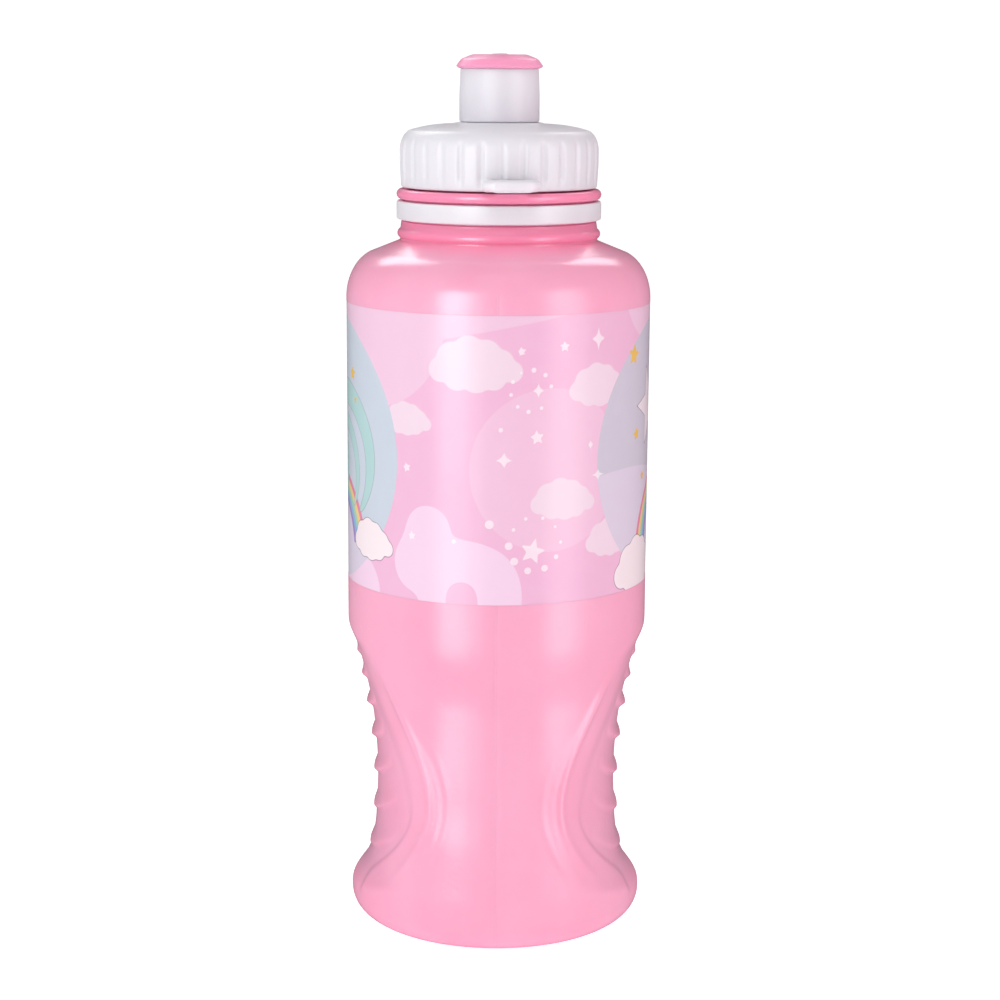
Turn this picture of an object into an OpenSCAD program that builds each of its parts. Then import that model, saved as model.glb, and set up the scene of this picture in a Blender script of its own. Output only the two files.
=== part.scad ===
// Squeezy drinking bottle for a child. A blow moulded body with a waisted, ribbed grip carries a
// printed wrap and a loose neck band. A screw cap with a sealing washer closes it, and a push-pull
// spout slides on the cap's chimney. The origin is the middle of the base, and +Z points up.

/* [Body] */
// Outside diameter of the body
body_d = 67; // [56:0.5:81]
// Height at which the straight side ends and the shoulder starts
shoulder_z = 140.5; // [117:0.5:170]
// Wall of the body
wall = 1.2; // [0.8:0.1:1.6]
// Radius of the corner round the base
base_corner = 5; // [3:0.5:7]
// Height of the hollow under the base
base_hollow = 1.6; // [0.5:0.1:2]
// How far the shoulder's round comes in
shoulder_in = 7.9; // [5:0.1:9]
// How high the shoulder's round is
shoulder_up = 10.5; // [8:0.1:13]
// Slope of the shoulder between its round and the neck, in degrees
shoulder_slope = 22; // [10:1:35]

/* [Grip] */
// Height at which the grip's hollow ends, above the base
grip_top = 67.3; // [58:0.1:80]
// Height at which the grip's hollow starts, above the base
grip_bottom = 7.5; // [7:0.1:10]
// Height of the waist, where the hollow is deepest
waist_z = 32; // [27:0.5:38]
// Depth of the hollow at the waist
waist_depth = 6.15; // [4:0.05:7.5]
// Radius of the waist's curve above its deepest point
waist_upper_r = 115; // [90:1:140]
// Radius of the waist's curve below its deepest point
waist_lower_r = 68; // [55:1:85]
// How much further back than the body's axis each hollow's own centre lies
grip_shift = 12.6; // [9:0.1:16]
// Number of finger ribs on each side
rib_count = 7; // [3:1:8]
// Height of the tallest finger rib
rib_h = 1.05; // [0.4:0.05:1.3]
// Height of the lowest rib above the base
rib_first_z = 15.4; // [14:0.1:18]
// Gap between the highest rib and the top of the hollow
rib_top_gap = 6.7; // [5:0.1:9]

/* [Wrap] */
// Thickness of the printed film
film = 0.15; // [0.1:0.05:0.3]
// Bare height between the grip's hollow and the wrap
wrap_gap_low = 11.2; // [6:0.1:15]
// Bare height between the wrap and the shoulder
wrap_gap_high = 0.7; // [0.5:0.1:6]

/* [Neck] */
// Radius of the neck between its beads
neck_r = 21.65; // [19:0.05:24]
// How far the lower bead stands out of the neck
low_bead = 0.6; // [0.3:0.05:1]
// How far the upper bead stands out of the neck
high_bead = 0.75; // [0.5:0.05:1.2]
// How much narrower the neck is inside the screw cap, without its thread
finish_step = 3.05; // [2.4:0.05:3.6]
// Height of the neck inside the screw cap
finish_h = 10.3; // [8.5:0.1:12.4]
// Wall of the neck
neck_wall = 1.2; // [0.9:0.1:1.6]

/* [Thread] */
// Rise of the thread in one turn
pitch = 4; // [3.4:0.1:4.6]
// Turns of thread on the neck
neck_turns = 1.25; // [1:0.05:1.4]
// Turns of thread in the cap
cap_turns = 1.1; // [0.8:0.05:1.2]
// How far the thread on the neck stands out
thread_h = 0.95; // [0.6:0.05:1.1]
// Radial gap between each thread and the wall that it faces
thread_gap = 0.3; // [0.2:0.05:0.5]

/* [Neck band] */
// Height of the loose band
band_h = 4; // [3:0.1:5]
// Thickness of the band
band_t = 1.5; // [1:0.1:2]
// Gap under and over the band
band_play = 0.4; // [0.2:0.05:0.7]
// Radial gap inside the band
band_gap = 0.1; // [0.08:0.01:0.3]

/* [Cap] */
// Thickness of the cap's skirt at its widest
skirt_t = 1.85; // [1.5:0.05:2.4]
// How much narrower the cap is at its lower edge
cap_draft = 0.3; // [0.1:0.05:0.6]
// Gap between the cap's lower edge and the neck's upper bead
cap_foot_gap = 0.4; // [0.3:0.05:0.8]
// Thickness of the washer under the cap's deck
seal_t = 1.2; // [0.8:0.1:1.6]
// Width of the washer
seal_w = 3.9; // [3:0.1:5]
// Thickness of the deck over the washer
deck_t = 1.3; // [1:0.1:1.8]
// How far the cap's rounded edge comes in
edge_in = 3.2; // [2:0.1:4]
// How high the cap's rounded edge is
edge_up = 4.6; // [3:0.1:5.5]
// Number of finger grooves round the cap
groove_count = 30; // [18:1:36]
// Radius of the cutter that makes a finger groove
groove_r = 0.75; // [0.5:0.05:1]
// Depth of a finger groove
groove_depth = 0.4; // [0.2:0.05:0.6]
// Angle from the front to the nearest finger groove
groove_turn = 2; // [0:0.5:11]

/* [Strap lug] */
// Width of the lug at the cap's lower edge
lug_w = 12.3; // [10:0.1:15]
// How far the lug stands out of the cap
lug_out = 5; // [4.4:0.1:7]
// Thickness of the lug
lug_t = 2.6; // [2:0.1:3.2]
// Width of the slot in the lug
lug_slot_w = 7.4; // [5:0.1:9]
// Depth of the slot in the lug
lug_slot = 2.1; // [1.5:0.1:2.5]
// Angle of the lug from the front, towards +X
lug_turn = 6.6; // [0:0.1:20]

/* [Spout] */
// Outside radius of the chimney that the spout slides on
chimney_r = 6.3; // [5.3:0.05:7]
// Wall of the chimney
chimney_wall = 1.3; // [1:0.1:1.6]
// Height of the chimney above the deck
chimney_h = 8.9; // [7.6:0.1:10.7]
// How far the chimney's stop bead stands out
stop_bead = 0.35; // [0.2:0.05:0.5]
// Radial running gap between the spout and the chimney
spout_gap = 0.1; // [0.06:0.01:0.15]
// Wall of the spout at its foot
spout_wall = 1.97; // [1.6:0.01:2.4]
// How much narrower the spout is at its top
spout_taper = 0.22; // [0:0.01:0.4]
// Gap between the chimney's top and the mouthpiece's plug when the spout is shut
plug_gap = 0.7; // [0.4:0.1:1.2]
// Height of the spout's inner lip, which the stop bead catches
lip_h = 1.2; // [0.8:0.1:1.6]
// Gap between the deck and the spout's foot when the spout is shut
spout_foot_gap = 0.3; // [0.2:0.05:0.6]

/* [Mouthpiece] */
// How far the mouthpiece's lip stands out past the spout's foot
tip_lip = 0.68; // [0.3:0.01:1.2]
// Height of the mouthpiece above the spout
tip_h = 3; // [2.4:0.1:3.8]
// Depth of the mouthpiece's plug inside the spout
plug_h = 2.1; // [1.5:0.1:2.6]
// Wall of the spout around the plug
plug_seat_wall = 1.3; // [1:0.05:1.5]
// Radius of the drinking hole
hole_r = 2; // [1.5:0.05:2.5]
// Radial gap between the drinking hole and the pin that shuts it
pin_gap = 0.08; // [0.05:0.01:0.12]
// How far the pin's end stands out of the shut mouthpiece
pin_proud = 0.3; // [0.1:0.05:0.6]

/* [Hidden] */
$fn = 96;
step = 7;                // degrees between the points of a rounded outline
body_r = body_d / 2;

// Grip: the outline of one side's hollow, as a depth below the body's side at each height
rib_spread = 9.7;        // degrees of a sine between ribs, so they close up towards the top
rib_last_z = grip_top - rib_top_gap;
rib_run = (rib_last_z - rib_first_z) / sin(rib_spread * (rib_count - 1));
rib_up = 2.6;            // height of the slow side of a rib
rib_down = 1.1;          // height of its sharp side
top_slope = 0.6;         // depth gained for each millimetre below the top of the hollow
low_slope = 0.75;        // and above its foot

// Neck: heights, from the shoulder up
shoulder_a = 90 - shoulder_slope;
shoulder_end = [body_r - shoulder_in * (1 - cos(shoulder_a)), shoulder_z + shoulder_up * sin(shoulder_a)];
neck_z = shoulder_end[1] + (shoulder_end[0] - neck_r) * tan(shoulder_slope);
bead_r = 1.15;           // radius of the beads' section
bead_a = 65;             // half the angle of their arcs
bead_half = bead_r * sin(bead_a);
neck_step = 0.5;         // plain neck under the lower bead
neck_land = 1.6;         // and over it, up to the band's groove
low_bead_z = neck_z + neck_step + bead_half;
groove_z = low_bead_z + bead_half + neck_land;
groove_floor_r = neck_r + high_bead - band_t;
band_z = groove_z + band_play;
high_bead_z = band_z + band_h + band_play + bead_half;
finish_z = high_bead_z + bead_half;
rim_z = finish_z + finish_h;
rim_chamfer = 0.3;
finish_r = neck_r - finish_step;
bore_r = finish_r - neck_wall;
inner_neck_r = groove_floor_r - neck_wall;

// Thread: the cap's helix runs half a turn's rise away from the neck's
thread_root = 1.05;      // half the height of a thread at its root
thread_crest = 0.4;      // half its height at its crest
thread_sink = 0.15;      // how deep a thread's root runs into its wall
thread_step = 10;        // degrees between its rings
thread_fade = 30;        // degrees over which its ends run out
thread_lead = 2;         // plain neck above its thread
neck_thread_z = rim_z - thread_lead - neck_turns * pitch;
cap_lead = 1.3;          // plain skirt below its thread
cap_inner_r = finish_r + thread_h + thread_gap;
cap_thread_h = cap_inner_r - finish_r - thread_gap;

// Cap: heights, from its lower edge up
cap_r = cap_inner_r + skirt_t;
cap_z = finish_z + cap_foot_gap;
seal_top = rim_z + seal_t;
seal_gap = 0.2;          // radial gap round the washer
seal_r = cap_inner_r - seal_gap;
deck_crown = 1.35;       // how much higher the deck's middle is than its edge
deck_recess = 1.1;       // hollow under the deck inside the washer
deck_drop = 1.2;         // fall of the deck from the chimney to the rounded edge
deck_z = seal_top + deck_t + deck_crown;
deck_under = seal_top + deck_recess;
edge_a = 70;
edge_z = deck_z - edge_up - deck_drop;
edge_end = [cap_r - edge_in * (1 - cos(edge_a)), edge_z + edge_up * sin(edge_a)];
foot_round = 0.4;
cap_thread_z = cap_z + cap_lead;
cap_thread_turn = 360 * (cap_thread_z - neck_thread_z) / pitch - 180;
groove_lift = 1.5;       // plain rim under the finger grooves
groove_over = 2.2;       // how far the grooves run up into the rounded edge

// Spout: heights above the deck
chimney_top = deck_z + chimney_h;
chimney_bore = chimney_r - chimney_wall;
bead_h = 0.9;
spout_z = deck_z + spout_foot_gap;
plug_z = chimney_top + plug_gap;
spout_top = plug_z + plug_h;
lip_r = chimney_r + spout_gap;
slide_r = chimney_r + stop_bead + spout_gap;
spout_r = slide_r + spout_wall;
plug_r = spout_r - spout_taper - plug_seat_wall;
tip_r = spout_r + tip_lip;
tip_z = spout_top + tip_h;
pin_r = hole_r - pin_gap;
spoke_w = 1.3;
spoke_h = 2.4;

// Depth of the hollow's floor at height z, without ribs
function grip_floor(z) =
    waist_depth - pow(z - waist_z, 2) / (2 * (z > waist_z ? waist_upper_r : waist_lower_r));
function grip_depth(z) = min(grip_floor(z), (grip_top - z) * top_slope, (z - grip_bottom) * low_slope);
function rib_z(i) = rib_first_z + rib_run * sin(rib_spread * i);
function rib_height(i) = rib_h * sin(20 + 120 * i / (rib_count - 1));

// Outline of a hollow: radius from its own centre against height, with or without the ribs
function grip_point(z, less) = [grip_shift + body_r - grip_depth(z) - less, z];
function grip_side(less, ribbed) = concat(
    [grip_point(grip_bottom, less), grip_point((grip_bottom + rib_first_z - rib_down - 1) / 2, less)],
    [for (i = [0:rib_count - 1]) each ribbed ? rib_points(i, less) : [grip_point(rib_z(i), less)]],
    [grip_point(grip_top - 3.2, less), grip_point(grip_top, less)]);
function rib_points(i, less) = [
    grip_point(rib_z(i) - rib_down, less),
    grip_point(rib_z(i), less - rib_height(i)),
    grip_point(rib_z(i) + rib_up, less)];

// One side's hollow as a solid of revolution about its own centre, wide open above and below
module grip_form(side, less, ribbed) {
    open_r = grip_shift + body_r + 2;
    translate([-side * grip_shift, 0, 0])
        rotate_extrude()
            polygon(concat(
                [[0, -5], [open_r, -5], [open_r, grip_bottom - 2 / low_slope]],
                grip_side(less, ribbed),
                [[open_r, grip_top + 2 / top_slope], [open_r, rim_z + 5], [0, rim_z + 5]]));
}

function bead(r, z) = [for (a = [-bead_a:bead_a / 4:bead_a]) [r - bead_r + bead_r * cos(a), z + bead_r * sin(a)]];

function body_outline() = concat(
    [[0, base_hollow], [body_r - base_corner - 6, base_hollow], [body_r - base_corner - 3, 0]],
    [for (a = [-90:step * 1.5:0]) [body_r - base_corner * (1 - cos(a)), base_corner * (1 + sin(a))]],
    [[body_r, grip_top + wrap_gap_low], [body_r - film, grip_top + wrap_gap_low],
     [body_r - film, shoulder_z - wrap_gap_high], [body_r, shoulder_z - wrap_gap_high]],
    [for (a = [0:step:shoulder_a]) [body_r - shoulder_in * (1 - cos(a)), shoulder_z + shoulder_up * sin(a)]],
    [shoulder_end, [neck_r, neck_z]],
    bead(neck_r + low_bead, low_bead_z),
    [[neck_r - 0.3, groove_z], [groove_floor_r, groove_z],
     [groove_floor_r, band_z + band_h + band_play]],
    bead(neck_r + high_bead, high_bead_z),
    [[finish_r, finish_z], [finish_r, rim_z - rim_chamfer], [finish_r - rim_chamfer, rim_z], [0, rim_z]]);

function cavity_outline() = concat(
    [[0, base_hollow + wall], [body_r - base_corner - 6, base_hollow + wall], [body_r - base_corner - 3, wall]],
    [for (a = [-75:15:0])
        [body_r - wall - (base_corner - wall) * (1 - cos(a)), wall + (base_corner - wall) * (1 + sin(a))]],
    [for (a = [0:step * 2:shoulder_a])
        [body_r - wall - shoulder_in * (1 - cos(a)), shoulder_z + (shoulder_up - wall) * sin(a)]],
    [[inner_neck_r, neck_z - wall * 0.8], [inner_neck_r, high_bead_z - 2], [bore_r, high_bead_z - 0.4],
     [bore_r, rim_z + 1], [0, rim_z + 1]]);

// A screw thread: rings of four points swept along a helix, with ends that run out to nothing
module thread(root_r, crest_r, start_z, turns) {
    n = round(turns * 360 / thread_step);
    sink = crest_r > root_r ? -thread_sink : thread_sink;
    rings = [for (i = [0:n])
        let (a = i * thread_step, z = start_z + pitch * a / 360,
             fade = min(1, 0.05 + min(i, n - i) * thread_step / thread_fade),
             crest = root_r + sink / 2 + (crest_r - root_r - sink / 2) * fade)
        each [for (p = [[root_r + sink, -thread_root], [crest, -thread_crest * fade],
                        [crest, thread_crest * fade], [root_r + sink, thread_root]])
            [p[0] * cos(a), p[0] * sin(a), z + p[1]]]];
    sides = [for (i = [0:n - 1], k = [0:3]) [4 * i + k, 4 * i + 4 + k, 4 * i + 4 + (k + 1) % 4, 4 * i + (k + 1) % 4]];
    ends = [[3, 2, 1, 0], [4 * n, 4 * n + 1, 4 * n + 2, 4 * n + 3]];
    faces = concat([for (f = sides) [f[0], f[1], f[2]]], [for (f = sides) [f[0], f[2], f[3]]], ends);
    polyhedron(rings, crest_r > root_r ? [for (f = faces) [for (k = [len(f) - 1:-1:0]) f[k]]] : faces);
}

module bottle_body() color([0.97, 0.66, 0.78]) {
    difference() {
        intersection() {
            rotate_extrude() polygon(body_outline());
            grip_form(1, 0, true);
            grip_form(-1, 0, true);
        }
        intersection() {
            rotate_extrude() polygon(cavity_outline());
            grip_form(1, wall, false);
            grip_form(-1, wall, false);
        }
    }
    thread(finish_r, finish_r + thread_h, neck_thread_z, neck_turns);
}

module wrap_film() color([0.95, 0.8, 0.9])
    translate([0, 0, grip_top + wrap_gap_low])
        difference() {
            film_h = shoulder_z - wrap_gap_high - grip_top - wrap_gap_low;
            cylinder(h = film_h, r = body_r);
            translate([0, 0, -1]) cylinder(h = film_h + 2, r = body_r - film);
        }

module neck_band() color([0.93, 0.91, 0.94]) {
    r = groove_floor_r + band_gap;
    t = band_t - band_gap;
    round = 0.3;
    rotate_extrude()
        polygon([[r, band_z], [r + t - round, band_z], [r + t, band_z + round],
                 [r + t, band_z + band_h - round], [r + t - round, band_z + band_h], [r, band_z + band_h]]);
}

module cap_seal() color([0.9, 0.9, 0.88])
    translate([0, 0, rim_z])
        difference() {
            cylinder(h = seal_t, r = seal_r);
            translate([0, 0, -1]) cylinder(h = seal_t + 2, r = seal_r - seal_w);
        }

function cap_outline() = concat(
    [[cap_inner_r, cap_z], [cap_r - cap_draft - foot_round, cap_z], [cap_r - cap_draft, cap_z + foot_round],
     [cap_r, (cap_z + edge_z) / 2]],
    [for (a = [0:step:edge_a]) [cap_r - edge_in * (1 - cos(a)), edge_z + edge_up * sin(a)]],
    [for (t = [1:-0.2:0]) let (r = chimney_r + (edge_end[0] - chimney_r) * t)
        [r, deck_z - (deck_z - edge_end[1]) * pow(t, 3)]],
    [[chimney_r, chimney_top - bead_h], [chimney_r + stop_bead, chimney_top - bead_h * 0.6],
     [chimney_r + stop_bead, chimney_top - bead_h * 0.3], [chimney_r, chimney_top],
     [chimney_bore, chimney_top], [chimney_bore, deck_under],
     [seal_r - seal_w - 0.8, deck_under], [seal_r - seal_w - 0.3, seal_top], [cap_inner_r, seal_top]]);

module pin() {
    round = 0.5;
    neck = 0.4;
    rotate_extrude()
        polygon([[0, chimney_top - spoke_h], [pin_r + neck, chimney_top - spoke_h],
                 [pin_r + neck, spout_top - 0.6], [pin_r, spout_top], [pin_r, tip_z + pin_proud - round],
                 [pin_r * 0.8, tip_z + pin_proud - round * 0.3], [pin_r * 0.45, tip_z + pin_proud],
                 [0, tip_z + pin_proud]]);
}

module lug() {
    corner = 2.6;
    half = lug_w / 2 - corner;
    reach = cap_r + lug_out;
    slot_r = lug_slot / 2;
    slot_x = reach - 2.4 - slot_r;
    rotate([0, 0, lug_turn - 90])
        difference() {
            union() {
                translate([cap_r - 1, -lug_w / 2, 0]) cube([lug_out + 1 - corner, lug_w, lug_t]);
                translate([cap_r - 1, -half, 0]) cube([lug_out + 1, 2 * half, lug_t]);
                for (s = [-1, 1]) translate([reach - corner, s * half, 0]) cylinder(h = lug_t, r = corner);
            }
            translate([slot_x - slot_r, slot_r - lug_slot_w / 2, -1])
                cube([lug_slot, lug_slot_w - lug_slot, lug_t + 2]);
            for (s = [-1, 1])
                translate([slot_x, s * (lug_slot_w / 2 - slot_r), -1]) cylinder(h = lug_t + 2, r = slot_r);
        }
}

module screw_cap() color([0.94, 0.93, 0.95]) {
    difference() {
        rotate_extrude() polygon(cap_outline());
        for (i = [0:groove_count - 1])
            rotate([0, 0, groove_turn - 90 + i * 360 / groove_count])
                translate([cap_r - groove_depth + groove_r, 0, cap_z + groove_lift])
                    cylinder(h = edge_z + groove_over - cap_z - groove_lift, r = groove_r);
    }
    translate([0, 0, cap_z]) lug();
    pin();
    for (i = [0:2])
        rotate([0, 0, 120 * i + 30])
            translate([pin_r, -spoke_w / 2, chimney_top - spoke_h])
                cube([chimney_bore - pin_r + 0.3, spoke_w, spoke_h]);
    rotate([0, 0, cap_thread_turn])
        thread(cap_inner_r, cap_inner_r - cap_thread_h, cap_thread_z, cap_turns);
}

module spout_slider() color([0.91, 0.89, 0.93]) {
    top_r = spout_r - spout_taper;
    rotate_extrude()
        polygon([[lip_r, spout_z], [spout_r - 0.25, spout_z], [spout_r, spout_z + 0.3],
                 [spout_r, (spout_z + spout_top) / 2], [top_r, spout_top], [plug_r, spout_top],
                 [plug_r, plug_z], [slide_r, plug_z], [slide_r, spout_z + lip_h], [lip_r, spout_z + lip_h - 0.3]]);
}

module mouthpiece_tip() color([0.98, 0.62, 0.77]) {
    seat = 0.02;
    under = 0.6;
    cheek_in = tip_r * 0.32;
    hollow_r = 4.6;
    cheek = [for (a = [0:step * 2:84])
        [tip_r - cheek_in * (1 - cos(a)), spout_top + under + (tip_h - under) * sin(a)]];
    rotate_extrude()
        polygon(concat(
            [[hollow_r, plug_z], [plug_r - seat, plug_z], [plug_r - seat, spout_top],
             [spout_r - spout_taper + 0.1, spout_top]],
            cheek,
            [[tip_r - cheek_in - 0.4, tip_z], [hole_r + 0.2, tip_z], [hole_r, tip_z - 0.2],
             [hole_r, spout_top + 0.6], [hollow_r, spout_top + 0.1]]));
}

bottle_body();
wrap_film();
neck_band();
cap_seal();
screw_cap();
spout_slider();
mouthpiece_tip();
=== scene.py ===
from math import cos, hypot, pi, radians, sin, tan

import bmesh
import bpy
import numpy as np
from mathutils import Matrix, Vector


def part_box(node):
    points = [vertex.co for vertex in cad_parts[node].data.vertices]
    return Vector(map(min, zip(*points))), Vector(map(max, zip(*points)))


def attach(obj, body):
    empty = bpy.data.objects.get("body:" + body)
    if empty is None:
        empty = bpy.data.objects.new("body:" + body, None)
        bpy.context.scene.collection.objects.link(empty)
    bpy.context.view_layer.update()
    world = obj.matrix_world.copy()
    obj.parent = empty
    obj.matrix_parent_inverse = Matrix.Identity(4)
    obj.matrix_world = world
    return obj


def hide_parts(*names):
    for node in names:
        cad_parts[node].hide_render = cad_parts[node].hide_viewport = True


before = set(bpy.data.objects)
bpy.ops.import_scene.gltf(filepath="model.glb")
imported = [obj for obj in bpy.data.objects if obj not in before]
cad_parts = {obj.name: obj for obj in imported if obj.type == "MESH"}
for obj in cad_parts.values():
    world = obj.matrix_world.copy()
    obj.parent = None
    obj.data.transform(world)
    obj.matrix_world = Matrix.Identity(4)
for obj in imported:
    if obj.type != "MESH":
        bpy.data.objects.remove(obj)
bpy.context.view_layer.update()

mm = 0.001
scene = bpy.context.scene
axisZ = (0, 0, 1)


def boxInMm(node):
    low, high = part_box(node)
    return low / mm, high / mm


# ---- outlines: lists of (radius, height) in millimetres

def arc(centreR, centreZ, radiusR, radiusZ, startDeg, endDeg, steps):
    angles = [radians(startDeg + (endDeg - startDeg) * i / steps) for i in range(steps + 1)]
    return [(centreR + radiusR * cos(a), centreZ + radiusZ * sin(a)) for a in angles]


def line(start, end, steps):
    return [(start[0] + (end[0] - start[0]) * i / steps, start[1] + (end[1] - start[1]) * i / steps)
            for i in range(steps + 1)]


def rounded(corners, closed=False, steps=4):
    # each corner is (radius, height, round), and its round is the radius of the arc that takes its place
    points = []
    count = len(corners)
    for i, (r, z, fillet) in enumerate(corners):
        here = Vector((r, z))
        if fillet == 0 or (not closed and i in (0, count - 1)):
            points.append((r, z))
            continue
        toLast = (Vector(corners[i - 1][:2]) - here).normalized()
        toNext = (Vector(corners[(i + 1) % count][:2]) - here).normalized()
        half = toLast.angle(toNext) / 2
        centre = here + (toLast + toNext).normalized() * fillet / sin(half)
        first = here + toLast * fillet / tan(half) - centre
        last = here + toNext * fillet / tan(half) - centre
        turn = first.angle_signed(last)
        for k in range(steps + 1):
            spoke = first.copy()
            spoke.rotate(Matrix.Rotation(-turn * k / steps, 2))
            points.append(tuple(centre + spoke))
    return points


# ---- meshes

def spun(outline, steps, closed=True):
    # one sixteenth is spun from the outline and then copied round, which is much the faster way
    parts = 16
    bm = bmesh.new()
    verts = [bm.verts.new((r * mm, 0, z * mm)) for r, z in outline]
    pairs = list(zip(verts, verts[1:])) + ([(verts[-1], verts[0])] if closed else [])
    edges = [bm.edges.new(pair) for pair in pairs]
    bmesh.ops.spin(bm, geom=verts + edges, cent=(0, 0, 0), axis=axisZ, dvec=(0, 0, 0),
                   angle=2 * pi / parts, steps=steps // parts, use_merge=False, use_duplicate=False)
    bmesh.ops.spin(bm, geom=bm.verts[:] + bm.edges[:] + bm.faces[:], cent=(0, 0, 0), axis=axisZ,
                   dvec=(0, 0, 0), angle=2 * pi * (parts - 1) / parts, steps=parts - 1,
                   use_merge=False, use_duplicate=True)
    bmesh.ops.remove_doubles(bm, verts=bm.verts, dist=1e-6)
    bmesh.ops.recalc_face_normals(bm, faces=bm.faces)
    return bm


def joined(bm, other):
    spare = bpy.data.meshes.new("spare")
    other.to_mesh(spare)
    other.free()
    bm.from_mesh(spare)
    bpy.data.meshes.remove(spare)
    return bm


def piece(name, bm, body, node, material, sharpDeg=40):
    mesh = bpy.data.meshes.new(name)
    bm.to_mesh(mesh)
    bm.free()
    mesh.shade_smooth()
    mesh.set_sharp_from_angle(angle=radians(sharpDeg))
    obj = bpy.data.objects.new(name, mesh)
    scene.collection.objects.link(obj)
    mesh.materials.append(material)
    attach(obj, body)
    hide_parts(node)
    print("made", name, len(mesh.polygons), "faces")
    return obj


def reshape(bm, change):
    # change takes arrays of angle, radius and height in millimetres, and gives them back moved
    co = np.array([v.co for v in bm.verts]) / mm
    angle, radius, height = change(np.arctan2(co[:, 1], co[:, 0]), np.hypot(co[:, 0], co[:, 1]), co[:, 2])
    for v, a, r, z in zip(bm.verts, angle.tolist(), radius.tolist(), height.tolist()):
        v.co = (r * mm * cos(a), r * mm * sin(a), z * mm)
    return bm


def smoothMin(a, b, reach):
    return np.minimum(a, b) - np.maximum(reach - np.abs(a - b), 0) ** 2 / (4 * reach)


def smoothStep(low, high, value):
    t = np.clip((value - low) / (high - low), 0, 1)
    return t * t * (3 - 2 * t)


def offLine(points, x, z):
    # how far x lies outside a smooth line through points of (height, place), measured square to that line
    heights, places = zip(*points)
    curve = np.polynomial.Polynomial.fit(heights, places, 5)
    held = np.clip(z, min(heights), max(heights))
    return (x - curve(held)) / np.sqrt(1 + curve.deriv()(held) ** 2)


# the neck's thread and the cap's: height is from root to crest, the two halves are half its width at each,
# and fade is the share of a turn over which its ends run out
threads = {
    "pitch": 4.0, "height": 0.95, "rootHalf": 1.05, "crestHalf": 0.4, "sink": 0.1, "fade": 0.09,
    "stepsPerTurn": 48, "neckTurns": 1.25, "neckLead": 2, "capTurns": 1.1, "capLead": 1.3,
}


def thread(rootR, crestR, startZ, turns, startDeg):
    # one section is swept up its helix, and its two ends run out to nothing
    t = threads
    pitch, perTurn = t["pitch"], t["stepsPerTurn"]
    sink = t["sink"] if crestR > rootR else -t["sink"]
    section = [(rootR - sink, -t["rootHalf"]), (crestR, -t["crestHalf"]),
               (crestR, t["crestHalf"]), (rootR - sink, t["rootHalf"])]
    bm = bmesh.new()
    verts = [bm.verts.new((r * mm, 0, (startZ + z) * mm)) for r, z in section]
    edges = [bm.edges.new((verts[i], verts[(i + 1) % 4])) for i in range(4)]
    bmesh.ops.spin(bm, geom=verts + edges, cent=(0, 0, 0), axis=axisZ,
                   dvec=(0, 0, pitch * mm / perTurn), angle=2 * pi * turns, steps=round(turns * perTurn),
                   use_merge=False, use_duplicate=False)
    bmesh.ops.holes_fill(bm, edges=[e for e in bm.edges if e.is_boundary], sides=0)
    bmesh.ops.recalc_face_normals(bm, faces=bm.faces)

    def runOut(angle, radius, height):
        share = angle / (2 * pi)
        turn = share + np.round((height - startZ) / pitch - share)
        ends = np.clip(np.minimum(turn, turns - turn) / t["fade"], 0.03, 1)
        return angle, rootR - sink + (radius - rootR + sink) * ends, height

    reshape(bm, runOut)
    bmesh.ops.rotate(bm, verts=bm.verts, cent=(0, 0, 0), matrix=Matrix.Rotation(radians(startDeg), 3, "Z"))
    return bm


# ---- shader graphs: values are written as sums, and every other node comes from node()

class Value:
    def __init__(self, graph, socket):
        self.graph, self.socket = graph, socket

    def maths(self, operation, *values):
        return self.graph.node("ShaderNodeMath", {"operation": operation}, dict(enumerate(values)))

    def __add__(self, other): return self.maths("ADD", self, other)
    def __radd__(self, other): return self.maths("ADD", other, self)
    def __sub__(self, other): return self.maths("SUBTRACT", self, other)
    def __rsub__(self, other): return self.maths("SUBTRACT", other, self)
    def __mul__(self, other): return self.maths("MULTIPLY", self, other)
    def __rmul__(self, other): return self.maths("MULTIPLY", other, self)
    def __truediv__(self, other): return self.maths("DIVIDE", self, other)
    def __gt__(self, other): return self.maths("GREATER_THAN", self, other)
    def atMost(self, other): return self.maths("MINIMUM", self, other)
    def atLeast(self, other): return self.maths("MAXIMUM", self, other)
    def held(self): return self.atLeast(0).atMost(1)


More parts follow.
